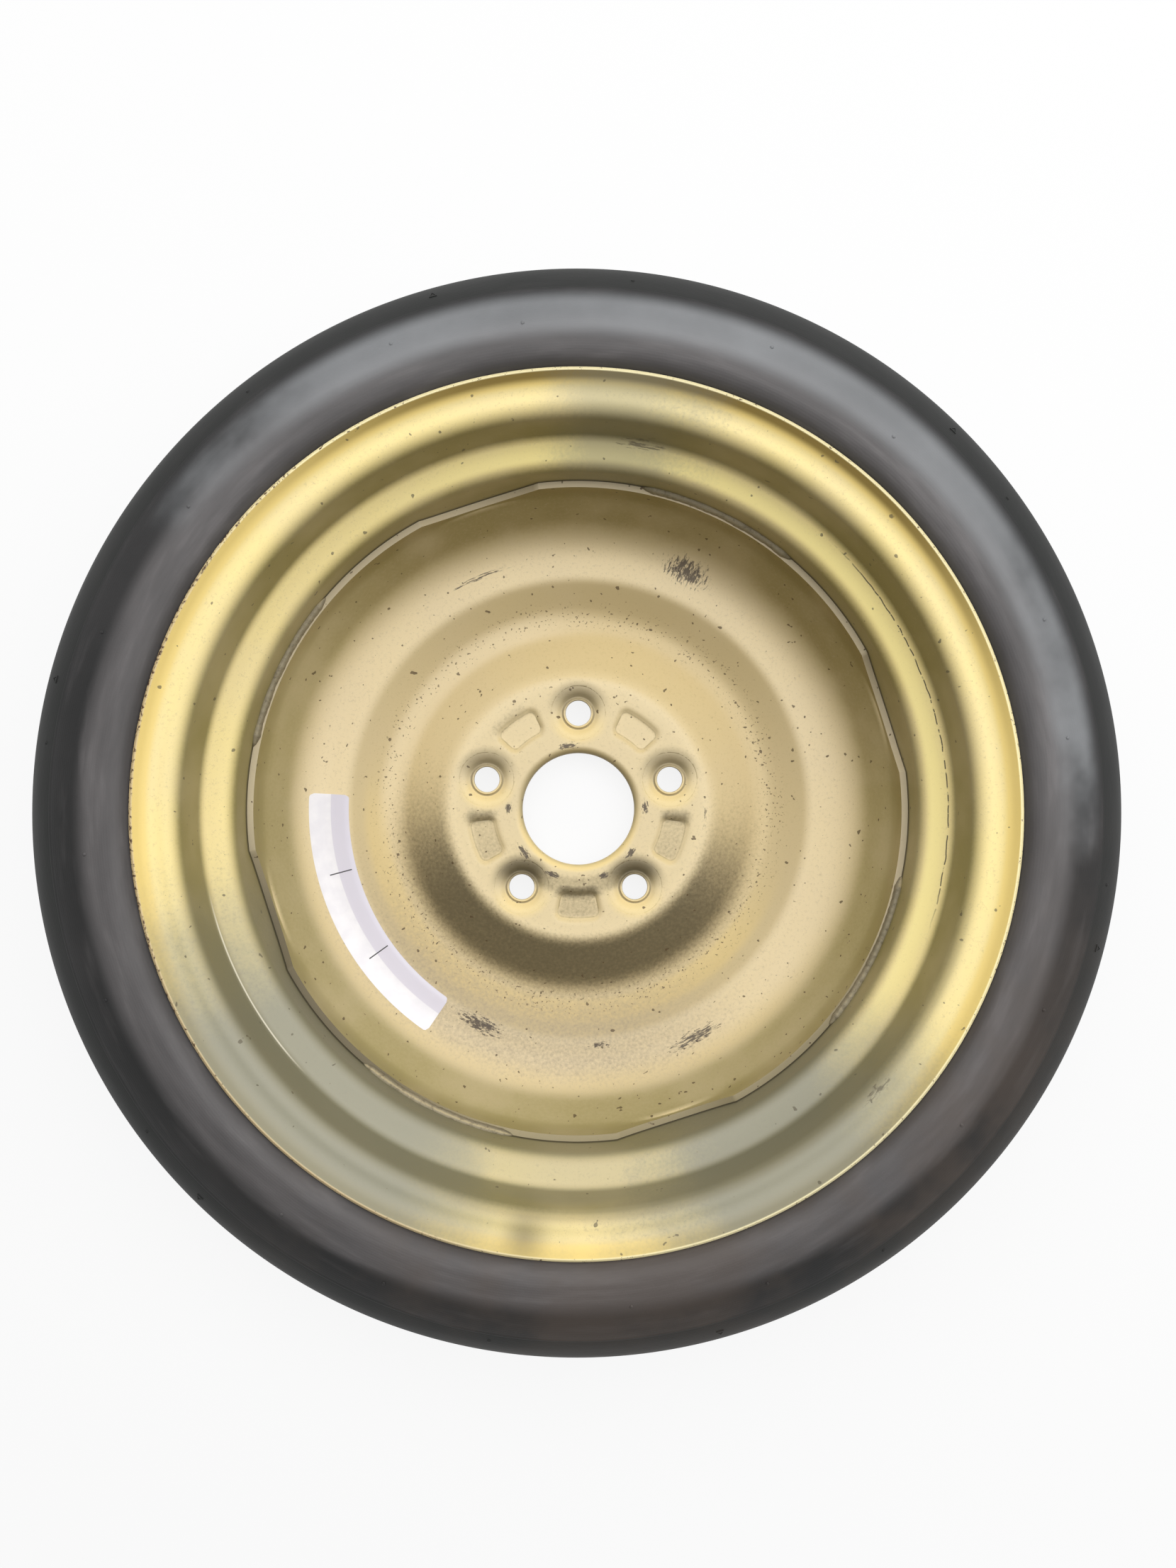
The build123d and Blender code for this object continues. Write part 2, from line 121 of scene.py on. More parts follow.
# Stud seats: section from the pad inwards to the hole and out again to the outboard face, about its own axis
stud_count = 5
stud_circle = 57.15
stud_first = 18.0
stud_hole = 7.5
stud_steps = 72
stud_cut = 40.0
seat_outer = 16.0
seat_floor_z, collar_z = mount_z - 2.6, mount_z - 1.3
collar_radius = 8.85
cone_z, boss_z = mount_z - 3.0, mount_z - 6.0
outboard_z = mount_z - disc_sheet
seat_corners = [
    (seat_outer, mount_z),
    (13.4, mount_z),
    (9.9, seat_floor_z),
    (collar_radius, seat_floor_z),
    (collar_radius, collar_z),
    (stud_hole, collar_z),
    (stud_hole, cone_z),
    (9.23, boss_z),
    (10.9, boss_z),
    (15.1, outboard_z),
    (seat_outer, outboard_z),
]
seat_bends = [7.0, 0.8, 0.3, 0.6, 0.6, 0.2, 0.2, 0.3, 0.6]

# Kidney recesses of the pad and scallops of the flange
recess_first = 54.0
recess_inner, recess_outer = 50.0, 65.5
recess_middle = (recess_inner + recess_outer) / 2
recess_half_angle = 12.2
recess_corner = 4.2
recess_depth = 2.3
recess_roll = 4.2
scallop_count = 4
scallop_first = 17.8
scallop_radius = 60.0
scallop_depth = 11.0
scallop_foot_z = disc_edge_z - 14.0

# Welds and sticker
weld_first = 64.2
weld_arc = 29.0
weld_height = 3.948
weld_gap = 0.05
weld_toe = 0.5
weld_bulge = 0.16
sticker_inner, sticker_outer = 136.7, 159.3
sticker_first, sticker_arc = 176.5, 59.2
sticker_corner = 2.5
sticker_lift = 0.3
sticker_ripple = 0.06

# Tyre: outer contour, bead and carcass of the inboard half
tyre_radius = tyre_high.x / MM
tyre_half_width = tyre_high.z / MM
crown_bend = 200.0
crown_half_width = 20.0
widest_radius = 232.0
tread_edge_radius = 262.0
bead_gap = 0.3
bead_toe_z = 30.0
bead_top_z = lip_z + 0.6
bead_bends = [14.3, 6.0]
carcass_radius = tyre_radius - 12.0
carcass_crown_bend = 90.0
carcass_crown_arc = radians(20)
carcass_widest = (240.0, tyre_half_width - 8.3)
carcass_foot = (228.0, half_rim - 0.8)
groove_walls = ((0.0, 3.0), (13.0, 19.0))
groove_depth = 5.0


def turned(vector, angle):
    """A flat vector turned to the left by an angle in radians."""
    return Matrix.Rotation(angle, 2) @ vector


def bend_arc(before, corner, after, bend, step=radians(7)):
    """Points of the round bend that replaces a corner."""
    back = (before - corner).normalized()
    ahead = (after - corner).normalized()
    turn = pi - back.angle(ahead)
    if bend <= 0 or turn < radians(0.5):
        return [corner]
    side = 1 if ahead.x * back.y - ahead.y * back.x > 0 else -1
    centre = corner + (back + ahead).normalized() * (bend / cos(turn / 2))
    start = corner + back * (bend * tan(turn / 2)) - centre
    count = max(2, ceil(turn / step))
    return [centre + turned(start, side * turn * i / count) for i in range(count + 1)]


def bent(corners, bends):
    """An open path through corners, with a round bend at each inner one."""
    points = [Vector(c) for c in corners]
    path = [points[0]]
    for before, corner, after, bend in zip(points, points[1:], points[2:], bends):
        path += bend_arc(before, corner, after, bend)
    return path + [points[-1]]


def shifted(corners, distance):
    """The same corners moved square to their runs, to the right of the way they go."""
    points = [Vector(c) for c in corners]
    rights = [turned((b - a).normalized(), -pi / 2) for a, b in zip(points, points[1:])]
    moved = [points[0] + rights[0] * distance]
    for point, a, b in zip(points[1:], rights, rights[1:]):
        moved.append(point + (a + b) * (distance / (1 + a.dot(b))))
    return moved + [points[-1] + rights[-1] * distance]


def shifted_bends(corners, bends, distance):
    """Bend radii after shifted(): wider on a left turn, tighter on a right turn."""
    points = [Vector(c) for c in corners]
    result = []
    for before, corner, after, bend in zip(points, points[1:], points[2:], bends):
        a, b = corner - before, after - corner
        result.append(bend + distance if a.x * b.y - a.y * b.x > 0 else bend - distance)
    return result


def sheet_loop(corners, bends, thickness, edge):
    """Closed section of a bent sheet with slightly rounded free edges."""
    far = shifted(corners, thickness)[::-1]
    far_bends = shifted_bends(corners, bends, thickness)[::-1]
    loop = [Vector(c) for c in corners] + far
    all_bends = [edge, *bends, edge, edge, *far_bends, edge]
    path = []
    for i, (corner, bend) in enumerate(zip(loop, all_bends)):
        path += bend_arc(loop[i - 1], corner, loop[(i + 1) % len(loop)], bend)
    return path


def resampled(path, spacing):
    """The same path with its long runs divided; spacing(point) gives the longest step."""
    result = [path[0]]
    for a, b in zip(path, path[1:]):
        count = max(1, ceil((b - a).length / spacing((a + b) / 2)))
        result += [a.lerp(b, i / count) for i in range(1, count + 1)]
    return result


def wrapped(angle, count):
    """The angle from the nearest of count even places, the first of them at 0."""
    period = 360 / count
    return (angle + period / 2) % period - period / 2


def even_angles(count):
    return [i * 360 / count for i in range(count)]


def add_to_scene(name, data):
    piece = bpy.data.objects.new(name, data)
    bpy.context.scene.collection.objects.link(piece)
    return piece


def add_object(name, bm, sharp=40.0):
    """A smooth-shaded object, edges sharper than the angle left crisp, from a bmesh in mm."""
    bm.transform(Matrix.Scale(MM, 4))
    bmesh.ops.recalc_face_normals(bm, faces=bm.faces)
    mesh = bpy.data.meshes.new(name)
    bm.to_mesh(mesh)
    bm.free()
    mesh.polygons.foreach_set("use_smooth", [True] * len(mesh.polygons))
    mesh.set_sharp_from_angle(angle=radians(sharp))
    return add_to_scene(name, mesh)


def add_skin(bm, rows, closed=True):
    """Faces between each row of points and the next; a closed row also joins its ends."""
    for a, b in zip(rows, rows[1:]):
        for i in range(0 if closed else 1, len(a)):
            bm.faces.new((a[i - 1], b[i - 1], b[i], a[i]))


def add_rod(bm, rows):
    """A closed skin with its two ends capped."""
    add_skin(bm, rows)
    bm.faces.new(rows[0])
    bm.faces.new(rows[-1])


def add_ring(bm, loop, angles, shape=None):
    """Sweeps a closed loop of (radius, z) round Z through the angles."""
    rows = []
    for angle in angles:
        c, s = cos(radians(angle)), sin(radians(angle))
        points = [shape(p, angle) for p in loop] if shape else loop
        rows.append([bm.verts.new((r * c, r * s, z)) for r, z in points])
    add_skin(bm, rows + rows[:1])


def add_cylinder(bm, at, radius, length, segments):
    bmesh.ops.create_cone(
        bm, cap_ends=True, segments=segments, radius1=radius, radius2=radius, depth=length, matrix=at
    )


def cut_away(piece, cutter_mesh):
    """Takes the volume of a bmesh out of a piece."""
    cutter = add_object("cutter", cutter_mesh)
    cut = piece.modifiers.new("cut", "BOOLEAN")
    cut.operation = "DIFFERENCE"
    cut.object = cutter
    evaluated = piece.evaluated_get(bpy.context.evaluated_depsgraph_get())
    mesh = bpy.data.meshes.new_from_object(evaluated)
    piece.modifiers.clear()
    piece.data = mesh
    bpy.data.objects.remove(cutter)


def valve_line():
    """A point on the valve's axis and the way its stem points, square to the rim's outboard slope."""
    foot, head = Vector(rim_corners[5]), Vector(rim_corners[6])
    middle = (foot + head) / 2
    square = turned((head - foot).normalized(), -pi / 2)
    turn = Matrix.Rotation(radians(valve_angle), 4, "Z")
    return turn @ Vector((middle.x, 0, middle.y)), turn @ Vector((square.x, 0, square.y))


def make_rim():
    bm = bmesh.new()
    add_ring(bm, sheet_loop(rim_corners, rim_bends, rim_sheet, rim_edge), even_angles(ring_steps))
    rim = add_object("rim_sheet_metal", bm)
    place, axis = valve_line()
    at = Matrix.Translation(place) @ axis.to_track_quat("Z", "Y").to_matrix().to_4x4()
    drill = bmesh.new()
    add_cylinder(drill, at, valve_hole, valve_drill, segments=48)
    cut_away(rim, drill)
    return rim


def make_spring(steps=24, sides=10):
    """The valve core's coil, with the point of its fixed end and its length along the valve's axis."""
    place, axis = valve_line()
    along = [(v.co / MM - place).dot(axis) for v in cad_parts["valve_core_spring"].data.vertices]
    low, high = min(along), max(along)
    pitch = (high - low - 2 * spring_wire) / (spring_turns * steps)
    x_axis = axis.orthogonal().normalized()
    y_axis = axis.cross(x_axis)
    rolls = [radians(t) for t in even_angles(sides)]
    bm = bmesh.new()
    rows = []
    for i in range(spring_turns * steps + 1):
        turn = 2 * pi * i / steps
        out = x_axis * cos(turn) + y_axis * sin(turn)
        centre = place + axis * (low + spring_wire + pitch * i) + out * spring_radius
        rows.append([bm.verts.new(centre + (out * cos(t) + axis * sin(t)) * spring_wire) for t in rolls])
    add_rod(bm, rows)
    return add_object("valve_spring_coil", bm, sharp=60), place + axis * low, high - low


def recess_drop(radius, angle):
    """How far the pad is pressed down at a point by its nearest kidney recess."""
    away = radians(wrapped(angle - recess_first, stud_count))
    across = (abs(away) - radians(recess_half_angle)) * recess_middle + recess_corner
    along = abs(radius - recess_middle) - (recess_outer - recess_inner) / 2 + recess_corner
    outside = hypot(max(across, 0), max(along, 0)) + min(max(across, along), 0) - recess_corner
    share = min(1.0, max(0.0, (outside + 1.0) / recess_roll))
    return recess_depth * (1 - share) ** 2


def scallop_drop(angle):
    """How far the flange's free edge is cut down at an angle."""
    away = radians(wrapped(angle - scallop_first, scallop_count)) * (disc_inner_radius + disc_sheet)
    if abs(away) >= scallop_radius:
        return 0.0
    return max(0.0, scallop_depth - scallop_radius + sqrt(scallop_radius**2 - away**2))


def disc_angles(count=420):
    """Even steps, plus the corners of the scallops."""
    corner = sqrt(scallop_radius**2 - (scallop_radius - scallop_depth) ** 2)
    half = degrees(corner / (disc_inner_radius + disc_sheet))
    middles = [scallop_first + turn for turn in even_angles(scallop_count)]
    corners = [(middle + side * half) % 360 for middle in middles for side in (-1, 1)]
    return sorted(even_angles(count) + corners)


def stud_places():
    """Centres of the stud holes in the pad's plane."""
    angles = [radians(stud_first + turn) for turn in even_angles(stud_count)]
    return [Vector((stud_circle * cos(a), stud_circle * sin(a), 0)) for a in angles]


def disc_loop():
    """Section of the disc's sheet, finely divided where the pad is pressed."""
    def spacing(p):
        return pressed_step if bore_radius < p.x < pressed_radius else plain_step

    inboard = resampled(bent(disc_corners, disc_bends), spacing)
    outboard = []
    for i, p in enumerate(inboard):
        along = inboard[min(i + 1, len(inboard) - 1)] - inboard[max(i - 1, 0)]
        outboard.append(p + turned(along.normalized(), -pi / 2) * disc_sheet)
    return inboard + outboard[::-1]


def pressed(p, angle):
    """A point (radius, z) of the disc after the scallops and recesses are put in."""
    r, z = p
    if z > scallop_foot_z:
        return r, z - (z - scallop_foot_z) / (disc_edge_z - scallop_foot_z) * scallop_drop(angle)
    if r < pressed_radius:
        return r, z - recess_drop(r, angle)
    return r, z


def make_disc():
    """The disc with round openings, and the coined stud seats that fill them."""
    bm = bmesh.new()
    add_ring(bm, disc_loop(), disc_angles(), pressed)
    disc = add_object("disc_sheet_metal", bm)
    openings = bmesh.new()
    seats = bmesh.new()
    section = bent(seat_corners, seat_bends)
    for place in stud_places():
        at = Matrix.Translation(place + Vector((0, 0, mount_z)))
        add_cylinder(openings, at, seat_outer, stud_cut, stud_steps)
        rows = []
        for angle in even_angles(stud_steps):
            c, s = cos(radians(angle)), sin(radians(angle))
            rows.append([seats.verts.new(place + Vector((p.x * c, p.x * s, p.y))) for p in section])
        add_skin(seats, rows + rows[:1], closed=False)
    cut_away(disc, openings)
    return disc, add_object("disc_stud_seats", seats)


def disc_height(radius):
    """Height of the disc's inboard face at a radius outside the pad."""
    path = bent(disc_corners, disc_bends)
    for a, b in zip(path, path[1:]):
        if a.x <= radius <= b.x and b.x > a.x:
            return a.y + (b.y - a.y) * (radius - a.x) / (b.x - a.x)
    return shelf_z


def make_sticker(columns=150, rows=28):
    """A thin film that follows the disc's shelf, with rounded corners and a faint ripple."""
    bm = bmesh.new()
    grid = []
    for i in range(columns + 1):
        share = i / columns
        from_end = min(share, 1 - share) * radians(sticker_arc) * (sticker_inner + sticker_outer) / 2
        tuck = max(0.0, sticker_corner - from_end)
        inset = sticker_corner - sqrt(max(0.0, sticker_corner**2 - tuck**2))
        low, high = sticker_inner + inset, sticker_outer - inset
        angle = radians(sticker_first + share * sticker_arc)
        row = []
        for j in range(rows + 1):
            r = low + (high - low) * j / rows
            ripple = sticker_ripple * noise.noise(Vector((r * 0.22, degrees(angle) * 0.5, 3.0)))
            z = disc_height(r) + sticker_lift + ripple
            row.append(bm.verts.new((r * cos(angle), r * sin(angle), z)))
        grid.append(row)
    add_skin(bm, grid, closed=False)
    outline = grid[0] + [row[-1] for row in grid[1:-1]] + grid[-1][::-1] + [row[0] for row in grid[-2:0:-1]]
    skirt = [bm.verts.new(v.co - Vector((0, 0, sticker_lift))) for v in outline]
    add_skin(bm, [outline, skirt])
    return add_object("sticker_film_sheet", bm)


def weld_size(share, k):
    """Thickness of weld k at a share of its length: rippled, lumpy and run out at its ends."""
    ends = min(1.0, 14 * min(share, 1 - share)) ** 0.5
    lumps = noise.noise(Vector((share * 9, k * 7.0, 0)))
    ripple = 0.88 + 0.03 * sin(share * 130) + 0.16 * lumps
    return min(1.0, max(0.08, ends * ripple))


def make_welds(steps=120, arc_steps=8):
    """Four fillet beads between the flange's edge and the rim's well."""
    root_radius = well_radius - rim_sheet - weld_gap
    root_z = disc_edge_z + weld_gap
    width = root_radius - disc_inner_radius - weld_toe
    bm = bmesh.new()
    for k in range(scallop_count):
        first = weld_first - weld_arc / 2 + 360 / scallop_count * k
        rows = []
        for i in range(steps + 1):
            share = i / steps
            size = weld_size(share, k)
            section = [(root_radius, root_z)]
            for j in range(arc_steps + 1):
                turn = pi / 2 * j / arc_steps
                bulge = 1 + weld_bulge * sin(2 * turn)
                r = root_radius - width * min(1.0, cos(turn) * bulge) * size
                section.append((r, root_z + weld_height * sin(turn) * bulge * size))
            angle = radians(first + share * weld_arc)
            rows.append([bm.verts.new((r * cos(angle), r * sin(angle), z)) for r, z in section])
        add_rod(bm, rows)
    return add_object("weld_bead_runs", bm, sharp=60)


def tangent_arc(start, way, end, step=1.6):
    """Points of the arc that leaves start along way and reaches end, and its way there."""
    span = end - start
    turn = 2 * atan2(way.x * span.y - way.y * span.x, way.dot(span))
    centre = start + turned(way, pi / 2) * (span.length / (2 * sin(turn / 2)))
    count = max(3, ceil(span.length / step))
    points = [centre + turned(start - centre, turn * i / count) for i in range(count + 1)]
    return points, turned(way, turn)


def arcs_meet(start, start_way, end, end_way):
    """Point where two arcs meet that lead smoothly from one place and way to another."""
    span = end - start
    both = start_way + end_way
    spread = 2 * (1 - start_way.dot(end_way))
    reach = (sqrt(span.dot(both) ** 2 + spread * span.dot(span)) - span.dot(both)) / spread
    return start + (span + (start_way - end_way) * reach) / 2


def two_arcs(start, way, end, end_way):
    """Points of a smooth pair of arcs, without the first point."""
    meet = arcs_meet(start, way, end, end_way)
    first, meet_way = tangent_arc(start, way, meet)
    second, _ = tangent_arc(meet, meet_way, end)
    return first[1:] + second[1:]


crown_arc = atan2(crown_half_width, crown_bend)
crown_end = Vector((tyre_radius - crown_bend * (1 - cos(crown_arc)), crown_bend * sin(crown_arc)))
crown_way = Vector((-sin(crown_arc), cos(crown_arc)))
inward = Vector((-1, 0))
side_contour = two_arcs(crown_end, crown_way, Vector((widest_radius, tyre_half_width)), inward)


def crown_point(z, depth=0.0):
    return Vector((tyre_radius - crown_bend + sqrt(crown_bend**2 - z**2) - depth, z))


def tread_run():
    """Half the crown, with half the centre groove and one side groove."""
    run = []
    for low, high in groove_walls:
        run += [crown_point(z, groove_depth) for z in (low, high)]
        if low > 0:
            run.insert(-2, crown_point(low))
        run.append(crown_point(high))
    return run + [crown_end]


def bead_run():
    """Roll-in to the rim's lip, bead heel and bead toe."""
    face_z = half_rim - bead_gap
    sole = seat_radius + bead_gap
    foot = lip_foot + bead_gap * tan(lip_slope / 2)
    top = Vector((foot + (bead_top_z - face_z) / tan(lip_slope), bead_top_z))
    toe = (sole - (face_z - bead_toe_z) * seat_fall, bead_toe_z)
    roll, _ = tangent_arc(side_contour[-1], inward, top)
    return roll[1:-1] + bent([top, (foot, face_z), (sole, face_z), toe], bead_bends)


def carcass_run():
    """Inner contour from the carcass's foot up to its crown."""
    drop = carcass_crown_bend * (1 - cos(carcass_crown_arc))
    crown_side = Vector((carcass_radius - drop, carcass_crown_bend * sin(carcass_crown_arc)))
    crown, side_way = tangent_arc(Vector((carcass_radius, 0)), Vector((0, 1)), crown_side, 6.0)
    widest = Vector(carcass_widest)
    foot, _ = tangent_arc(widest, inward, Vector(carcass_foot), 4.0)
    return (crown + two_arcs(crown[-1], side_way, widest, inward) + foot[1:])[::-1]


def make_tyre():
    half = tread_run() + side_contour + bead_run() + carcass_run()
    other = [Vector((p.x, -p.y)) for p in half[::-1]]
    loop = half + [p for p in other if abs(p.y) > 1e-6]
    bm = bmesh.new()
    add_ring(bm, loop, even_angles(ring_steps))
    return add_object("tyre_moulding", bm, sharp=38)


def sidewall_point(radius):
    """Place and outward direction of the inboard sidewall at a radius."""
    for a, b in zip(side_contour, side_contour[1:]):
        if b.x <= radius <= a.x:
            share = (a.x - radius) / (a.x - b.x)
            return a.lerp(b, share), turned((b - a).normalized(), -pi / 2)
    return side_contour[-1], Vector((0, 1))


def tyre_frame(radius, angle):
    """Matrix that stands on the inboard sidewall: Z out of the rubber, X away from the axis."""
    point, out = sidewall_point(radius)
    c, s = cos(radians(angle)), sin(radians(angle))
    z_axis = Vector((out.x * c, out.x * s, out.y))
    y_axis = Vector((-s, c, 0))
    x_axis = y_axis.cross(z_axis)
    place = Vector((point.x * c, point.x * s, point.y))
    return Matrix.Translation(place) @ Matrix((x_axis, y_axis, z_axis)).transposed().to_4x4()


def make_vent_nubs(count=24, sides=14):
    """Cut-off vent spews: short domed pegs on the sidewall."""
    rows_of_nubs = (243.0, 249.0, 268.0)
    top_height = 0.55
    dome = [(0.5, 0.5), (0.85, 0.3), (1.0, -0.4)]
    turns = [radians(t) for t in even_angles(sides)]
    bm = bmesh.new()
    for k in range(count):
        wobble = 4.0 * noise.noise(Vector((k * 3.7, 1.3, 0)))
        at = tyre_frame(rows_of_nubs[k % 3] + wobble * 0.5, 7 + 360 / count * k + wobble)
        rows = [[bm.verts.new(at @ Vector((r * cos(t), r * sin(t), z))) for t in turns] for r, z in dome]
        top = bm.verts.new(at @ Vector((0, 0, top_height)))
        for i in range(sides):
            bm.faces.new((top, rows[0][i - 1], rows[0][i]))
        add_skin(bm, rows)
    return add_object("tyre_vent_nubs", bm, sharp=80)


def make_wear_marks(count=6, radius=271.0, first=45.5):
    """Small raised triangles on the shoulder that point at the tread."""
    corners = [(2.6, 0.0), (-2.2, 2.0), (-2.2, -2.0)]
    layers = ((1.0, -0.5), (1.0, 0.3), (0.72, 0.42), (0.6, 0.1))
    bm = bmesh.new()
    for turn in even_angles(count):
        at = tyre_frame(radius, first + turn)
        rows = []
        for size, z in layers:
            rows.append([bm.verts.new(at @ Vector((x * size, y * size, z))) for x, y in corners])
        add_skin(bm, rows)
        bm.faces.new(rows[-1])
    return add_object("tyre_wear_marks", bm, sharp=30)


class Shade:
    """Short forms for wiring the nodes of one material or world."""

    def __init__(self, owner):
        owner.use_nodes = True
        self.owner = owner
        self.tree = owner.node_tree
        self.bsdf = self.tree.nodes.get("Principled BSDF")
        self.colour = None

    def node(self, kind, inputs=(), **settings):
        made = self.tree.nodes.new(kind)
        for key, value in settings.items():
            setattr(made, key, value)
        for key, value in dict(inputs).items():
            self.feed(made.inputs[key], value)
        return made

    def feed(self, socket, value):
        if isinstance(value, bpy.types.NodeSocket):
            self.tree.links.new(value, socket)
        else:
            socket.default_value = value

    def math(self, operation, *values):
        made = self.node("ShaderNodeMath", operation=operation)
        for socket, value in zip(made.inputs, values):
            self.feed(socket, value)
        return made.outputs[0]

    def add(self, a, b):
        return self.math("ADD", a, b)

    def less(self, a, b):
        return self.math("SUBTRACT", a, b)

    def times(self, *values):
        return reduce(lambda a, b: self.math("MULTIPLY", a, b), values)

    def most(self, *values):
        return reduce(lambda a, b: self.math("MAXIMUM", a, b), values)

    def span(self, x, y):
        """Distance made by x and y together."""
        return self.math("SQRT", self.add(self.times(x, x), self.times(y, y)))

    def rise(self, x, low, high):
        """0 where x is below low, 1 above high, smooth between; the other way round if low is above high."""
        inputs = {0: x, 1: low, 2: high, 3: 0.0, 4: 1.0}
        return self.node("ShaderNodeMapRange", inputs, interpolation_type="SMOOTHSTEP").outputs[0]

    def band(self, x, centre, half, soft):
        """1 within half of centre, fading out over soft."""
        away = self.math("ABSOLUTE", self.less(x, centre))
        return self.less(1.0, self.rise(away, half, half + soft))

    def folded(self, angle, first, count=1):
        """Angle from the nearest of count even places."""
        return self.math("WRAP", self.less(angle, first), 180 / count, -180 / count)

    def arc_band(self, angle, centre, half, soft):
        """band() for an angle in degrees."""
        return self.band(self.folded(angle, centre), 0.0, half, soft)

    def patch(self, radius, angle, ring, arc):
        """Where a ring (radius, half, soft) and an arc (angle, half, soft) overlap."""
        return self.times(self.band(radius, *ring), self.arc_band(angle, *arc))

    def mix(self, share, a, b):
        made = self.node("ShaderNodeMix", data_type="RGBA")
        self.feed(made.inputs[0], share)
        self.feed(made.inputs[6], a)
        self.feed(made.inputs[7], b)
        return made.outputs[2]

    def coat(self, paint, *shares):
        """Paints over the colour so far, by the product of the shares."""
        self.colour = self.mix(self.times(*shares), self.colour, paint)

    def noise(self, place, scale, detail=2.0, roughness=0.5):
        inputs = {"Vector": place, "Scale": scale, "Detail": detail, "Roughness": roughness}
        return self.node("ShaderNodeTexNoise", inputs).outputs["Fac"]

    def sway(self, noise_value, size):
        """A noise as a shift to either side."""
        return self.times(self.less(noise_value, 0.5), size)

    def vector(self, x, y, z):
        return self.node("ShaderNodeCombineXYZ", {0: x, 1: y, 2: z}).outputs[0]

    def parts(self, vector):
        return self.node("ShaderNodeSeparateXYZ", {0: vector}).outputs

    def place(self):
        """Place on the part in millimetres."""
        where = self.node("ShaderNodeTexCoord").outputs["Object"]
        return self.node("ShaderNodeVectorMath", {0: where, 3: 1 / MM}, operation="SCALE").outputs[0]

    def polar(self, place):
        """Radius, angle in degrees and height of a place."""
        x, y, z = self.parts(place)
        return self.span(x, y), self.times(self.math("ARCTAN2", y, x), 180 / pi), z

    def facing(self):
        """How far the surface faces up, and how far it leans towards the side the light falls from."""
        x, y, z = self.parts(self.node("ShaderNodeNewGeometry").outputs["Normal"])
        return z, self.add(self.times(x, cos(light_side)), self.times(y, sin(light_side)))

    def seen(self):
        """1 for rays straight from the camera, a glossy surface or glass."""
        path = self.node("ShaderNodeLightPath").outputs
        return self.most(path["Is Camera Ray"], path["Is Glossy Ray"], path["Is Transmission Ray"])

    def surface(self, rough, relief, strength, depth, **others):
        """Wires the colour, roughness and a bump, depth in metres, and gives the material."""
        made = self.node("ShaderNodeBump", {"Height": relief, "Strength": strength, "Distance": depth})
        self.feed(self.bsdf.inputs["Normal"], made.outputs[0])
        self.feed(self.bsdf.inputs["Base Color"], self.colour)
        self.feed(self.bsdf.inputs["Roughness"], rough)
        for key, value in others.items():
            self.feed(self.bsdf.inputs[key.replace("_", " ")], value)
        return self.owner


def new_material(name):
    return Shade(bpy.data.materials.new(name))


def rgb(r, g, b):
    """An sRGB colour of 0 to 255 as linear RGBA."""
    def linear(v):
        v = v / 255
        return v / 12.92 if v <= 0.04045 else ((v + 0.055) / 1.055) ** 2.4

    return (linear(r), linear(g), linear(b), 1.0)


# Side of the wheel that the light falls from: slopes leaning towards it get painted highlight and slopes
# leaning away get painted shade. Also how glossy the paint is
light_side = radians(75)
paint_gloss = 0.3
# Tones of the disc: ring (radius, half, soft), arc (angle, half, soft), share, colour. They give a darker
# pad, painted shade on the slope below the pad and on the step up to the shelf, painted highlight on the
# lower side of the step, and a painted lighter patch in the valley at the upper left
all_round = (0.0, 180.0, 1.0)
disc_tones_and_shade = [
    ((0.0, 66.0, 18.0), all_round, 0.3, rgb(196, 178, 134)),
    ((98.0, 12.0, 12.0), all_round, 0.45, rgb(192, 168, 112)),
    ((126.0, 7.0, 8.0), all_round, 0.42, rgb(164, 142, 88)),
    ((122.0, 3.0, 6.0), (255.0, 55.0, 40.0), 0.45, rgb(236, 208, 134)),
    ((112.0, 4.0, 7.0), (140.0, 28.0, 34.0), 0.5, rgb(238, 220, 182)),
]
# Soot and painted shade on the pad and at the recesses: ring, arc, share
pad_soot_and_shade = [
    ((46.0, 3.0, 6.0), (268.0, 26.0, 50.0), 0.5),
    ((58.0, 5.0, 8.0), (184.5, 0.5, 7.0), 0.68),
    ((58.0, 5.0, 8.0), (355.5, 0.5, 7.0), 0.68),
    ((49.0, 1.0, 6.0), (270.0, 9.0, 15.0), 0.85),
    ((67.5, 1.0, 6.0), (128.0, 7.0, 8.0), 0.34),
]
# Scuffs: spot (angle, radius), half sizes in degrees and mm, fineness of the streaks along angle and radius,
# and how much is left clear
disc_scuffs = [
    ((65.5, 155.0), (11.0, 16.0), (2.4, 0.3), 0.73),
    ((113.0, 150.0), (18.0, 3.6), (0.4, 1.4), 0.8),
    ((245.5, 141.0), (12.0, 9.0), (0.9, 0.9), 0.71),
    ((297.5, 152.5), (13.0, 9.0), (0.5, 0.9), 0.75),
    ((275.5, 141.0), (6.0, 4.0), (0.9, 0.6), 0.77),
    ((358.0, 75.5), (16.0, 2.2), (0.3, 1.5), 0.8),
]
rim_scuffs = [
    ((80.0, 196.0), (10.0, 6.0), (0.5, 1.2), 0.8),
    ((318.0, 205.0), (8.0, 9.0), (0.6, 0.7), 0.84),
]
# Scuffs round the bore: angle, radius, half size in degrees
bore_spots = [
    (99, 38.2, 12),
    (179, 41.5, 7),
    (219, 41, 12),
    (249, 41.5, 10),
    (291, 42, 7),
    (320, 40.5, 9),
    (2, 39.7, 9),
]
disc_scuffs += [((turn, r), (half * 1.3, 4.0), (0.25, 1.0), 0.7) for turn, r, half in bore_spots]


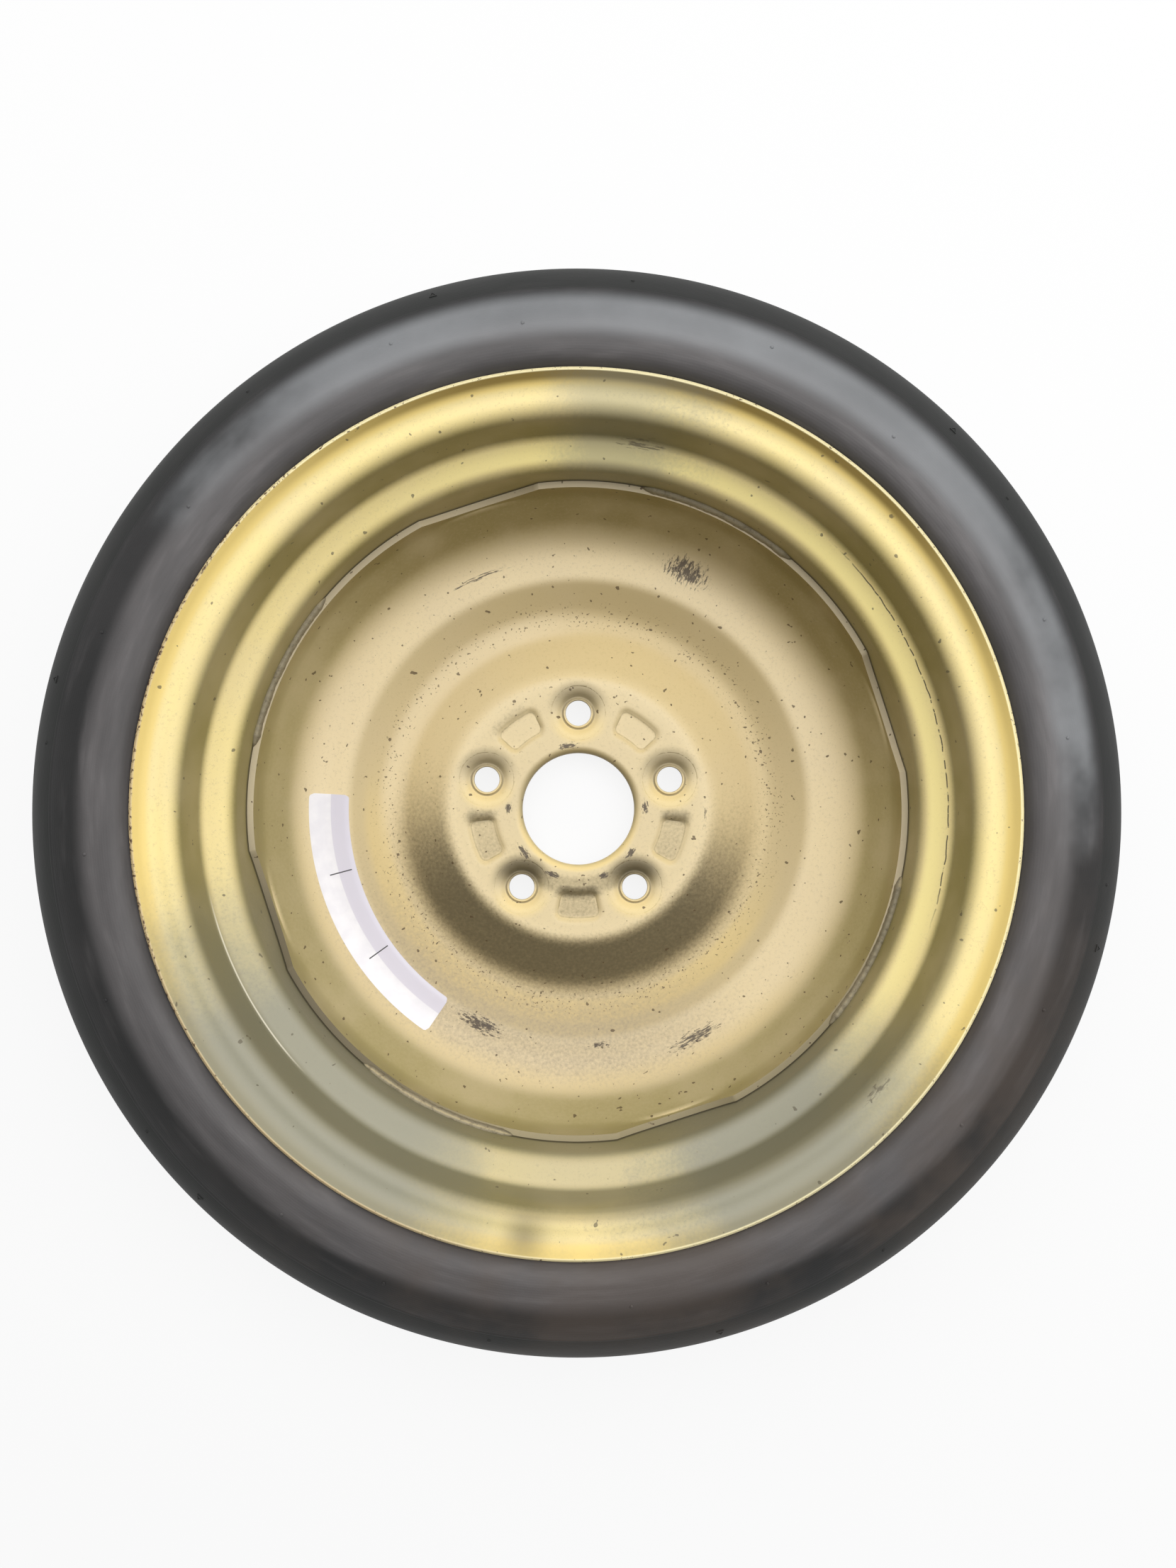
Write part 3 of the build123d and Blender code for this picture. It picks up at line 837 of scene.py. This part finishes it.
def paint_base(shade, place, flat, steep, away_shade=0.2):
    """Gold paint: pale with dust where it lies flat and darker olive on steep walls as painted shade, with
    painted highlight on slopes that lean towards the light and painted shade on slopes that lean away.
    """
    up, lean = shade.facing()
    mottle = shade.noise(place, 0.018, 3.0)
    fine = shade.noise(place, 1.3, 3.0, 0.75)
    grain = shade.noise(place, 0.55, 2.0, 0.6)
    uneven = shade.sway(grain, 0.14)
    lying = shade.math("ABSOLUTE", up)
    # Flats are pale with dust; steep walls are darker olive as painted shade
    shade.colour = shade.mix(shade.rise(shade.add(lying, uneven), 0.25, 1.0), steep, flat)
    painted_lit_side = shade.rise(shade.add(lean, uneven), 0.08, 0.5)
    # Painted highlight on slopes that lean towards the light
    shade.coat(rgb(228, 203, 140), painted_lit_side, shade.rise(up, 0.5, 0.85), 0.45)
    # Painted shade on slopes that lean away from the light
    shade.coat(rgb(104, 86, 34), shade.rise(lean, -0.05, -0.75), away_shade)
    shade.coat(rgb(224, 207, 176), shade.rise(mottle, 0.4, 0.7), 0.2)
    shade.coat(rgb(168, 152, 120), shade.rise(shade.add(fine, grain), 1.0, 1.5), 0.45)
    return grain, up


def specks(shade, place, scale, low, high):
    """Small separate dots where a fine noise peaks."""
    return shade.rise(shade.noise(place, scale, 1.0, 0.4), low, high)


def window(shade, radius, angle, spot, half):
    """1 at a spot (angle, radius), fading out over half sizes in degrees and mm."""
    return shade.patch(radius, angle, (spot[1], 0.0, half[1]), (spot[0], 0.0, half[0]))


def scuffs(shade, radius, angle, table):
    """Ragged rub marks."""
    marks = []
    for spot, half, fineness, clear in table:
        inside = window(shade, radius, angle, spot, half)
        along = shade.vector(shade.times(angle, fineness[0]), shade.times(radius, fineness[1]), spot[0])
        streaks = shade.noise(along, 1.0, 4.0, 0.66)
        marks.append(shade.rise(shade.add(streaks, shade.times(inside, 0.4)), clear, clear + 0.14))
    return shade.most(*marks)


def recess_distance(shade, radius, angle):
    """Signed distance from the edge of the nearest kidney recess, below 0 inside it."""
    away = shade.math("ABSOLUTE", shade.folded(angle, recess_first, stud_count))
    across = shade.times(away, radians(recess_middle))
    across = shade.less(across, radians(recess_half_angle) * recess_middle - recess_corner)
    along = shade.math("ABSOLUTE", shade.less(radius, recess_middle))
    along = shade.less(along, (recess_outer - recess_inner) / 2 - recess_corner)
    corner = shade.span(shade.most(across, 0.0), shade.most(along, 0.0))
    inside = shade.math("MINIMUM", shade.most(across, along), 0.0)
    return shade.less(shade.add(corner, inside), recess_corner)


def recess_dirt_and_shade(shade, radius, angle, grain):
    """Dirt on the floors of the lower recesses, and a thin line of painted shade round each recess."""
    outside = recess_distance(shade, radius, angle)
    lower = shade.arc_band(angle, 270.0, 50.0, 70.0)
    shade.coat(rgb(112, 100, 76), shade.rise(outside, 0.0, -2.5), lower, shade.times(grain, 0.7))
    # Painted shade line where each recess floor meets its wall
    shade.coat(rgb(100, 86, 56), shade.band(outside, -0.9, 0.12, 0.45), shade.times(grain, 0.5))


def disc_grime_and_shade(shade, radius, angle, grain):
    """Brown-grey grime with painted shade on the slope below the hub, by the recesses and on the pad."""
    slope = shade.times(shade.rise(radius, 70.0, 84.0), shade.rise(radius, 123.0, 99.0))
    slope = shade.times(slope, shade.arc_band(angle, 264.0, 46.0, 74.0))
    pad = [shade.times(shade.patch(radius, angle, ring, arc), share) for ring, arc, share in pad_soot_and_shade]
    speckled = shade.add(shade.most(slope, *pad), shade.sway(grain, 0.4))
    return shade.rise(speckled, 0.05, 1.1)


def stud_dimples(shade, place):
    """Painted highlight on the lower walls of the stud dimples, grime with painted shade on their upper
    walls, strongest in the two lower ones, and a painted shade line round each collar.
    """
    x, y, _ = shade.parts(place)
    dimple_highlights, dimple_grime_and_shade = [], []
    for centre in stud_places():
        rise = shade.less(y, centre.y)
        away = shade.span(shade.less(x, centre.x), rise)
        side = shade.math("DIVIDE", rise, away)
        dimple_highlights.append(shade.times(shade.band(away, 12.5, 2.0, 6.0), shade.rise(side, 0.15, -0.85)))
        wall = shade.times(shade.band(away, 12.0, 2.0, 7.5), shade.rise(side, -0.2, 0.9))
        dimple_grime_and_shade.append(shade.times(wall, 0.85 if centre.y < 0 else 0.55))
        # Painted shade line round the collar of each hole
        dimple_grime_and_shade.append(shade.times(shade.band(away, 9.4, 0.2, 0.5), 0.6))
    return shade.most(*dimple_highlights), shade.most(*dimple_grime_and_shade)


def hub_highlight_and_shade(shade, place, radius, angle):
    """Painted shade on the upper side of the bore's rolled edge, painted highlight on its lower side and on
    the lower walls of the stud dimples, and grime with painted shade on the dimples' upper walls.
    """
    roll = shade.rise(radius, bore_radius + 5.0, bore_radius + 1.5)
    # Painted shade on the upper side of the bore's rolled edge
    shade.coat(rgb(128, 110, 62), roll, shade.arc_band(angle, 84.0, 50.0, 50.0), 0.42)
    roll_highlight = shade.times(roll, shade.arc_band(angle, 270.0, 50.0, 50.0), 0.7)
    dimple_highlights, dimple_grime_and_shade = stud_dimples(shade, place)
    # Painted highlight on the lower side of the bore's roll and on the lower walls of the dimples
    shade.coat(rgb(248, 223, 156), shade.most(roll_highlight, shade.times(dimple_highlights, 0.5)))
    # Grime with painted shade on the dimples' upper walls
    shade.coat(rgb(72, 64, 46), dimple_grime_and_shade)


def above_flange(shade, angle, height):
    """Height above the disc's scalloped edge."""
    away = shade.folded(angle, scallop_first, scallop_count)
    away = shade.times(away, radians(disc_inner_radius + disc_sheet))
    arc = shade.math("SQRT", shade.most(shade.less(scallop_radius**2, shade.times(away, away)), 0.0))
    drop = shade.most(shade.add(arc, scallop_depth - scallop_radius), 0.0)
    return shade.less(shade.add(height, drop), disc_edge_z)


def edge_tones(shade, angle, height):
    """Pale sheet edge of the flange, darker on the left and duller at the bottom."""
    edge = shade.rise(above_flange(shade, angle, height), -0.25, -0.1)
    shade.coat(rgb(200, 187, 158), edge, 0.8)
    shade.coat(rgb(74, 66, 48), edge, shade.arc_band(angle, 218.0, 16.0, 26.0), 0.8)
    shade.coat(rgb(122, 112, 78), edge, shade.arc_band(angle, 288.0, 36.0, 24.0), 0.6)


def disc_paint():
    """Paint of the disc; the tones with their painted shade and highlight, the dirt and the marks lie on its
    inboard side only.
    """
    shade = new_material("gold_paint_disc")
    place = shade.place()
    radius, angle, height = shade.polar(place)
    grain, up = paint_base(shade, place, rgb(237, 218, 176), rgb(158, 146, 98), away_shade=0.46)
    clean = shade.colour
    for ring, arc, share, paint in disc_tones_and_shade:
        shade.coat(paint, shade.patch(radius, angle, ring, arc), share)
    shelf_dirt = shade.patch(radius, angle, (138.0, 14.0, 20.0), (252.0, 24.0, 52.0))
    shade.coat(rgb(150, 138, 122), shelf_dirt, shade.add(0.14, shade.times(grain, 0.7)))
    recess_dirt_and_shade(shade, radius, angle, grain)
    hub_highlight_and_shade(shade, place, radius, angle)
    # Grime with painted shade below the hub and at the recesses
    shade.coat(rgb(88, 79, 58), disc_grime_and_shade(shade, radius, angle, grain), 0.95)
    edge_tones(shade, angle, height)
    ring = shade.band(radius, 117.0, 3.0, 7.0)
    ring_dots = shade.times(ring, specks(shade, place, 0.7, 0.66, 0.71), 0.75)
    large_dots = shade.times(specks(shade, place, 0.3, 0.735, 0.765), 0.8)
    shade.coat(rgb(78, 60, 40), shade.most(ring_dots, large_dots))
    shade.coat(rgb(58, 49, 49), scuffs(shade, radius, angle, disc_scuffs), 0.86)
    shade.coat(clean, shade.rise(up, 0.0, -0.2))
    rough = shade.add(0.46, shade.times(grain, 0.16))
    return shade.surface(rough, grain, 0.1, 0.0004, Specular_IOR_Level=paint_gloss)


def rim_highlights_and_shade(shade, angle, height, up):
    """Gold painted highlight on the flange's curl, painted shade on the curl at the top with a rubbed darker
    patch there, and painted highlight on the ledge on the right.
    """
    crest = half_rim + rim_sheet
    # Painted highlight in gold on the flange's curl
    shade.coat(rgb(242, 214, 130), shade.rise(height, crest + 0.4, crest + 2.0), 0.8)
    # Painted shade, with a rubbed darker patch, on the top of the curl
    brim = shade.rise(height, crest + 1.0, crest + 4.0)
    shade.coat(rgb(122, 100, 46), brim, shade.arc_band(angle, 74.0, 26.0, 42.0), 0.85)
    # Painted highlight on the ledge where the lip shades it
    ledge = shade.patch(height, angle, (21.0, 3.0, 3.0), (40.0, 50.0, 50.0))
    shade.coat(rgb(255, 238, 160), ledge, shade.rise(up, 0.7, 1.0), 0.8)


def grey_reflections(shade, place, angle, height, grain):
    """Painted reflection of the grey sky on the lower rim, and a rubbed grey patch at the top."""
    edge = shade.sway(shade.noise(place, 0.02, 3.0), 18.0)
    moved = shade.add(angle, shade.add(edge, shade.sway(grain, 6.0)))
    bottom = shade.times(shade.rise(height, 50.0, 36.0), shade.arc_band(moved, 268.0, 14.0, 24.0))
    return shade.most(
        shade.times(bottom, 0.5),
        shade.arc_band(moved, 227.0, 14.0, 32.0),
        shade.arc_band(moved, 301.0, 8.0, 26.0),
        shade.times(shade.arc_band(moved, 83.0, 2.0, 13.0), 0.6),
    )


def flange_gap_shadow(shade, radius, angle, height):
    """Painted shadow on the rim's well along the disc's scalloped edge."""
    near = shade.rise(above_flange(shade, angle, height), 3.6, 1.2)
    return shade.times(near, shade.rise(radius, well_radius - 1.2, well_radius - 2.2))


def rim_scratches(shade, radius, angle, height):
    """Thin dark score along the ledge's outer corner, with gaps."""
    wander = shade.noise(shade.vector(shade.times(angle, 0.25), 2.0, 0.0), 1.0, 2.0)
    track = shade.add(radius, shade.sway(wander, 2.4))
    line = shade.times(shade.band(track, 195.2, 0.16, 0.22), shade.band(height, 28.0, 6.0, 3.0))
    broken = shade.noise(shade.vector(shade.times(angle, 0.5), 7.0, 0.0), 1.0, 3.0, 0.7)
    return shade.times(line, shade.rise(broken, 0.43, 0.49), shade.arc_band(angle, 14.0, 24.0, 10.0))


def worn_lip(shade, place, radius, angle, height):
    """Pale edge of the rim's lip, with rust and chips on the left."""
    lip = shade.rise(radius, lip_radius - 2.6, lip_radius - 2.0)
    lip = shade.times(lip, shade.rise(height, lip_z - 1.2, lip_z - 0.6))
    shade.coat(rgb(252, 240, 190), lip, 0.8)
    shade.coat(rgb(150, 104, 62), lip, shade.arc_band(angle, 200.0, 40.0, 40.0), 0.5)
    wear = shade.times(shade.arc_band(angle, 168.0, 25.0, 35.0), 0.1)
    chips = shade.rise(shade.add(shade.noise(place, 0.5, 3.0, 0.7), wear), 0.62, 0.68)
    shade.coat(rgb(84, 60, 44), lip, chips)


def rim_paint():
    shade = new_material("gold_paint_rim")
    place = shade.place()
    radius, angle, height = shade.polar(place)
    grain, up = paint_base(shade, place, rgb(244, 224, 156), rgb(146, 136, 88))
    rim_highlights_and_shade(shade, angle, height, up)
    # Grey of the painted reflection, paler where the surface lies flat
    grey = shade.mix(shade.rise(up, 0.25, 1.0), rgb(122, 119, 99), rgb(141, 141, 129))
    shade.coat(grey, grey_reflections(shade, place, angle, height, grain), 0.91)
    # Painted shade in the bend of the flange at the lower right
    crease_shade = shade.patch(height, angle, (50.5, 1.0, 2.2), (302.0, 30.0, 34.0))
    shade.coat(rgb(116, 109, 80), crease_shade, 0.4)
    # Painted shadow in the gap beside the disc's edge
    shade.coat(rgb(48, 42, 28), flange_gap_shadow(shade, radius, angle, height), 0.8)
    smudge = shade.times(window(shade, radius, angle, (263.0, 212.0), (4.6, 17.0)), 0.8)
    dots = specks(shade, place, 0.26, 0.75, 0.78)
    marks = shade.most(dots, scuffs(shade, radius, angle, rim_scuffs), smudge)
    shade.coat(rgb(92, 84, 66), marks, 0.75)
    pale_line = shade.patch(radius, angle, (197.4, 0.1, 0.28), (208.0, 9.0, 8.0))
    shade.coat(rgb(240, 234, 214), pale_line, 0.7)
    shade.coat(rgb(48, 38, 28), rim_scratches(shade, radius, angle, height), 0.92)
    worn_lip(shade, place, radius, angle, height)
    rough = shade.add(0.4, shade.times(grain, 0.14))
    return shade.surface(rough, grain, 0.08, 0.0004, Specular_IOR_Level=paint_gloss)


def weld_paint():
    shade = new_material("gold_paint_weld")
    place = shade.place()
    grain, _ = paint_base(shade, place, rgb(150, 140, 114), rgb(112, 103, 80))
    shade.coat(rgb(140, 133, 114), 0.4)
    spatter = shade.noise(place, 0.4, 3.0, 0.7)
    shade.coat(rgb(98, 88, 68), shade.rise(spatter, 0.48, 0.72), 0.65)
    rough = shade.add(0.46, shade.times(spatter, 0.2))
    return shade.surface(rough, shade.add(grain, spatter), 0.3, 0.0005, Specular_IOR_Level=paint_gloss)


def tyre_rubber():
    """Black rubber: dust by the rim's lip, made paler there as painted light, a painted grey sheen at the
    top, brown dirt at the bottom.
    """
    shade = new_material("tyre_rubber_black")
    place = shade.place()
    radius, angle, _ = shade.polar(place)
    cloud = shade.noise(place, 0.013, 4.0, 0.6)
    x, y, _ = shade.parts(place)
    along = shade.vector(shade.times(x, 0.02), shade.times(y, 0.02), shade.times(radius, 0.12))
    smear = shade.noise(along, 1.0, 3.0, 0.55)
    fine = shade.noise(place, 0.9, 3.0, 0.7)
    shade.colour = shade.mix(shade.rise(cloud, 0.3, 0.7), rgb(22, 22, 22), rgb(36, 35, 35))
    # Dust by the rim's lip, paler than dust alone as painted light that lifts the shade in the fold
    by_lip = shade.times(shade.band(radius, 233.0, 6.0, 10.0), shade.add(0.3, shade.times(smear, 0.7)))
    lip_dust_and_light = shade.add(by_lip, shade.times(shade.rise(smear, 0.5, 0.8), 0.2))
    shade.coat(rgb(104, 101, 101), lip_dust_and_light)
    # Painted sheen: pale grey on the upper side where the light glances off the rubber
    moved = shade.add(angle, shade.sway(cloud, 60.0))
    painted_sheen = shade.patch(radius, moved, (247.0, 5.0, 10.0), (72.0, 46.0, 34.0))
    shade.coat(rgb(136, 138, 140), painted_sheen, shade.add(0.4, shade.times(cloud, 0.6)))
    bottom = shade.arc_band(angle, 292.0, 30.0, 45.0)
    shade.coat(rgb(84, 72, 62), bottom, shade.rise(cloud, 0.35, 0.65), 0.4)
    tread = shade.rise(radius, tread_edge_radius - 0.3, tread_edge_radius + 0.3)
    shade.coat(rgb(24, 26, 24), tread, 0.6)
    rings = shade.times(shade.math("SINE", shade.times(radius, 5.2)), 0.04)
    ridge = shade.times(shade.band(radius, tread_edge_radius, 0.25, 0.45), 1.2)
    relief = shade.add(shade.add(shade.times(fine, 0.35), rings), ridge)
    rough = shade.add(0.44, shade.add(shade.times(smear, 0.2), shade.times(tread, 0.1)))
    return shade.surface(rough, relief, 0.35, 0.0006, Specular_IOR_Level=0.24)


def sticker_material():
    """Blank white film with a tinted inner half and two thin cross lines."""
    shade = new_material("sticker_white_film")
    place = shade.place()
    radius, angle, _ = shade.polar(place)
    soft = shade.noise(place, 0.12, 3.0)
    shade.colour = shade.mix(shade.rise(soft, 0.3, 0.7), rgb(238, 236, 240), rgb(230, 228, 234))
    shade.coat(rgb(214, 210, 222), shade.band(radius, 141.5, 5.6, 0.4))
    inset = shade.times(shade.rise(radius, 137.6, 137.9), shade.band(radius, 146.0, 6.5, 0.2))
    lines = shade.most(*[shade.arc_band(angle, at, 0.1, 0.08) for at in (194.9, 215.6)])
    shade.coat(rgb(60, 58, 62), lines, inset)
    return shade.surface(shade.add(0.34, shade.times(soft, 0.12)), soft, 0.06, 0.0004)


def brass():
    shade = new_material("turned_brass")
    tarnish = shade.noise(shade.place(), 0.6, 3.0)
    shade.colour = shade.mix(shade.rise(tarnish, 0.35, 0.7), rgb(214, 178, 104), rgb(158, 124, 66))
    return shade.surface(shade.add(0.24, shade.times(tarnish, 0.18)), tarnish, 0.15, 0.0002, Metallic=1.0)


def valve_rubber(name, dark, pale, rough):
    shade = new_material(name)
    place = shade.place()
    cloud = shade.noise(place, 0.35, 3.0)
    fine = shade.noise(place, 3.0, 2.0)
    shade.colour = shade.mix(shade.rise(cloud, 0.4, 0.7), dark, pale)
    return shade.surface(shade.add(rough - 0.08, shade.times(cloud, 0.16)), fine, 0.2, 0.0002)


def spring_steel():
    shade = new_material("drawn_steel_wire")
    tone = shade.noise(shade.place(), 2.0, 2.0)
    shade.colour = shade.mix(tone, rgb(150, 150, 152), rgb(196, 196, 198))
    return shade.surface(shade.add(0.24, shade.times(tone, 0.14)), tone, 0.1, 0.0001, Metallic=1.0)


def give_material(piece, material):
    piece.data.materials.clear()
    piece.data.materials.append(material)


def dress(piece, material, nodes=()):
    """Gives a new piece its material and ties it to the CAD."""
    give_material(piece, material)
    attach(piece, "wheel")
    if nodes:
        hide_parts(*nodes)


def dress_valve():
    """The hidden valve keeps its CAD solids and gets materials."""
    metal = brass()
    finishes = {
        "valve_body": valve_rubber("valve_rubber_black", rgb(30, 30, 31), rgb(52, 52, 53), 0.5),
        "valve_stem": metal,
        "valve_core_plug": metal,
        "valve_core_barrel": metal,
        "valve_core_pin": metal,
        "valve_core_gasket": valve_rubber("seal_rubber_red", rgb(130, 44, 36), rgb(160, 62, 50), 0.55),
        "valve_cap": valve_rubber("cap_plastic_black", rgb(26, 26, 27), rgb(42, 42, 44), 0.42),
    }
    for node, material in finishes.items():
        give_material(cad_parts[node], material)


def dress_spring():
    """Puts the steel coil in place of the valve core's CAD spring."""
    coil, fixed_end, length = make_spring()
    dress(coil, spring_steel(), nodes=["valve_core_spring"])
    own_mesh(coil)


def make_stage():
    """A pale floor that looks white to the camera and keeps the wheel's soft shadow."""
    half, clearance = 6.0, 0.0005
    z = tyre_low.z - clearance
    mesh = bpy.data.meshes.new("floor")
    mesh.from_pydata([(-half, -half, z), (half, -half, z), (half, half, z), (-half, half, z)], [], [range(4)])
    floor = add_to_scene("floor", mesh)
    shade = new_material("floor_white")
    diffuse = shade.node("ShaderNodeBsdfDiffuse", {"Color": (0.8, 0.8, 0.8, 1)}).outputs[0]
    glow = shade.node("ShaderNodeEmission", {"Color": (1, 1, 1, 1), "Strength": 1.0}).outputs[0]
    share = shade.times(shade.seen(), 0.86)
    blend = shade.node("ShaderNodeMixShader", {0: share, 1: diffuse, 2: glow}).outputs[0]
    shade.feed(shade.tree.nodes["Material Output"].inputs[0], blend)
    mesh.materials.append(shade.owner)


def add_lamp(name, azimuth, reach, height, size, power):
    """A soft rectangle that faces the wheel's centre; lengths in metres."""
    light = bpy.data.lights.new(name, "AREA")
    light.shape = "RECTANGLE"
    light.size, light.size_y = size
    light.energy = power
    lamp = add_to_scene(name, light)
    place = Vector((reach * cos(radians(azimuth)), reach * sin(radians(azimuth)), height))
    lamp.location = place
    lamp.rotation_euler = (-place).to_track_quat("-Z", "Y").to_euler()
    lamp.visible_camera = False


def make_light(room=0.12):
    """A wide window low at the upper right, a broad panel high on that side and a dim room."""
    add_lamp("window", azimuth=65.0, reach=1.5, height=0.55, size=(3.4, 0.75), power=9.0)
    add_lamp("panel", azimuth=65.0, reach=0.62, height=1.6, size=(4.4, 1.6), power=57.0)
    shade = Shade(bpy.data.worlds.new("studio"))
    strength = shade.node("ShaderNodeMapRange", {0: shade.seen(), 3: room, 4: 1.0}).outputs[0]
    background = shade.tree.nodes["Background"].inputs
    shade.feed(background["Color"], (1, 1, 1, 1))
    shade.feed(background["Strength"], strength)
    bpy.context.scene.world = shade.owner


def make_camera():
    """Straight down on the inboard side, as the photograph was taken."""
    image_width, focal_px, sensor = 1659, 1480.0, 36.0
    data = bpy.data.cameras.new("camera")
    data.sensor_fit = "HORIZONTAL"
    data.sensor_width = sensor
    data.lens = focal_px / image_width * sensor
    camera = add_to_scene("camera", data)
    camera.location = (5.8 * MM, 15.0 * MM, 577.6 * MM)
    bpy.context.scene.camera = camera


make_camera()
rubber = tyre_rubber()
dress(make_tyre(), rubber, nodes=["tyre"])
dress(make_vent_nubs(), rubber)
dress(make_wear_marks(), rubber)
dress(make_rim(), rim_paint(), nodes=["rim"])
disc, seats = make_disc()
gold = disc_paint()
dress(disc, gold, nodes=["wheel_disc"])
dress(seats, gold)
dress(make_welds(), weld_paint(), nodes=["disc_weld_beads"])
dress(make_sticker(), sticker_material(), nodes=["blank_sticker"])
dress_valve()
dress_spring()
make_stage()
make_light()
bpy.context.scene.view_settings.view_transform = "Standard"
